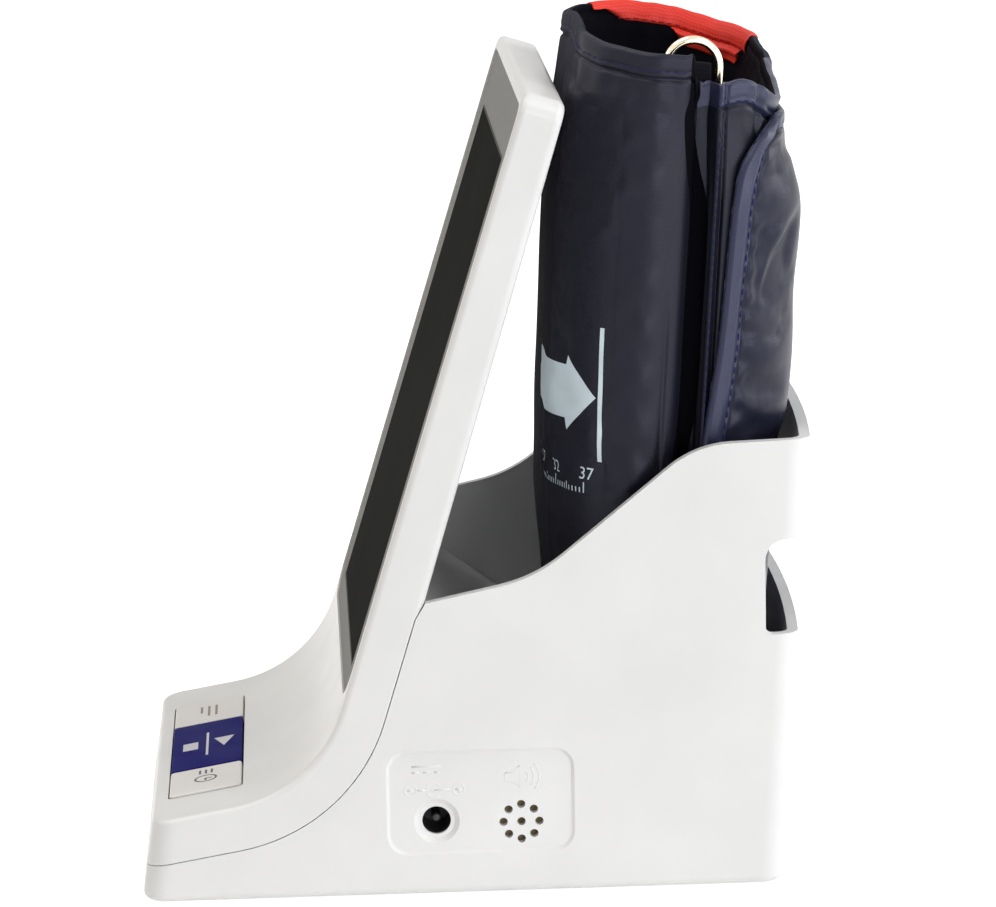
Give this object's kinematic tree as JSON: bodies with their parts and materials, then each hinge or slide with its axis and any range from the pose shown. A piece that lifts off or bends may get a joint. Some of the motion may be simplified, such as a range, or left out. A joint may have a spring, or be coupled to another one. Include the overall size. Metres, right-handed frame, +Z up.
{
  "type": "upper-arm blood pressure monitor with rolled cuff",
  "caption": "Desktop upper-arm blood pressure monitor: leaning display slab, sloped deck with push keys, open bin behind it holding the rolled arm cuff.",
  "frame": {"origin": "on the table under the middle of the overall bounding box", "axes": "+Z up from the table, +X towards the user's right hand, -Y towards the user"},
  "size_m": [0.108, 0.1452, 0.1808],
  "materials": {
    "plastic_white": "fine spark-eroded satin",
    "plastic_inner": "moulded, matt",
    "plastic_base": "moulded, matt",
    "rubber_dark": "matt",
    "steel": "zinc plated",
    "lens_border": "clear sheet with a printed silver-grey border",
    "lcd_glass": "polished",
    "backlight_plastic": "polished light guide",
    "circuit_board": "solder mask",
    "ribbon_film": "flexible film",
    "key_blue": "satin",
    "key_white": "satin",
    "silicone": "translucent, matt",
    "switch_plastic": "moulded",
    "chip_black": "moulded",
    "motor_steel": "nickel plated",
    "pump_plastic": "moulded",
    "hose_rubber": "matt",
    "socket_plastic": "moulded",
    "jack_plastic": "moulded, steel centre pin",
    "speaker_metal": "pressed",
    "foam": "open cell",
    "cell_sleeve": "plain sleeve, steel ends",
    "nickel": "nickel plated",
    "cuff_fabric": "close-woven nylon, slight sheen",
    "lining_fabric": "smooth coated nylon",
    "bladder_rubber": "smooth",
    "ring_metal": "polished, pale gold plating",
    "webbing": "narrow webbing",
    "port_rubber": "moulded"
  },
  "bodies": {
    "case": {"front_bezel": "plastic_white", "rear_housing": "plastic_white", "cuff_tray": "plastic_inner", "display_back_cover": "plastic_white", "base_plate": "plastic_base", "rubber_feet": "rubber_dark", "base_screws": "steel", "back_cover_screws": "steel", "board_screws": "steel", "tray_screws": "steel", "display_lens": "lens_border", "lcd_panel": "lcd_glass", "lcd_frame": "plastic_inner", "backlight": "backlight_plastic", "display_board": "circuit_board", "display_ribbon": "ribbon_film", "key_membrane": "silicone", "key_board": "circuit_board", "tact_switches": "switch_plastic", "key_ribbon": "ribbon_film", "main_board": "circuit_board", "board_chips": "chip_black", "pump_motor": "motor_steel", "pump_head": "pump_plastic", "pump_saddles": "silicone", "exhaust_valve": "pump_plastic", "pressure_sensor": "chip_black", "air_manifold": "pump_plastic", "inner_air_hoses": "hose_rubber", "air_socket": "socket_plastic", "dc_jack": "jack_plastic", "speaker": "speaker_metal", "speaker_gasket": "foam", "battery_cells": "cell_sleeve", "battery_contacts": "nickel", "battery_springs": "nickel"},
    "start_key": {"start_stop_button": "key_blue"},
    "set_key": {"set_button": "key_white"},
    "view_key": {"view_button": "key_white"},
    "door": {"battery_door": "plastic_base"},
    "cuff": {"cuff_cover": "cuff_fabric", "cuff_flap": "cuff_fabric", "cuff_lining": "lining_fabric", "cuff_bladder": "bladder_rubber", "cuff_ring": "ring_metal", "cuff_ring_loop": "webbing", "cuff_air_port": "port_rubber"}
  },
  "joints": [
    {"name": "start_stop_press", "type": "slide", "parent": "case", "child": "start_key", "axis": [0, 0.165, -0.9863], "range_m": [0, 0.001], "stiffness_N_per_m": 1500},
    {"name": "set_press", "type": "slide", "parent": "case", "child": "set_key", "axis": [0, 0.165, -0.9863], "range_m": [0, 0.001], "stiffness_N_per_m": 1200},
    {"name": "view_press", "type": "slide", "parent": "case", "child": "view_key", "axis": [0, 0.165, -0.9863], "range_m": [0, 0.001], "stiffness_N_per_m": 1200},
    {"name": "battery_door_slide", "type": "slide", "parent": "case", "child": "door", "axis": [0, 1, 0], "range_m": [0, 0.062]},
    {"name": "cuff_lift", "type": "slide", "parent": "case", "child": "cuff", "axis": [0, 0.0663, 0.9978], "range_m": [0, 0.145]}
  ]
}
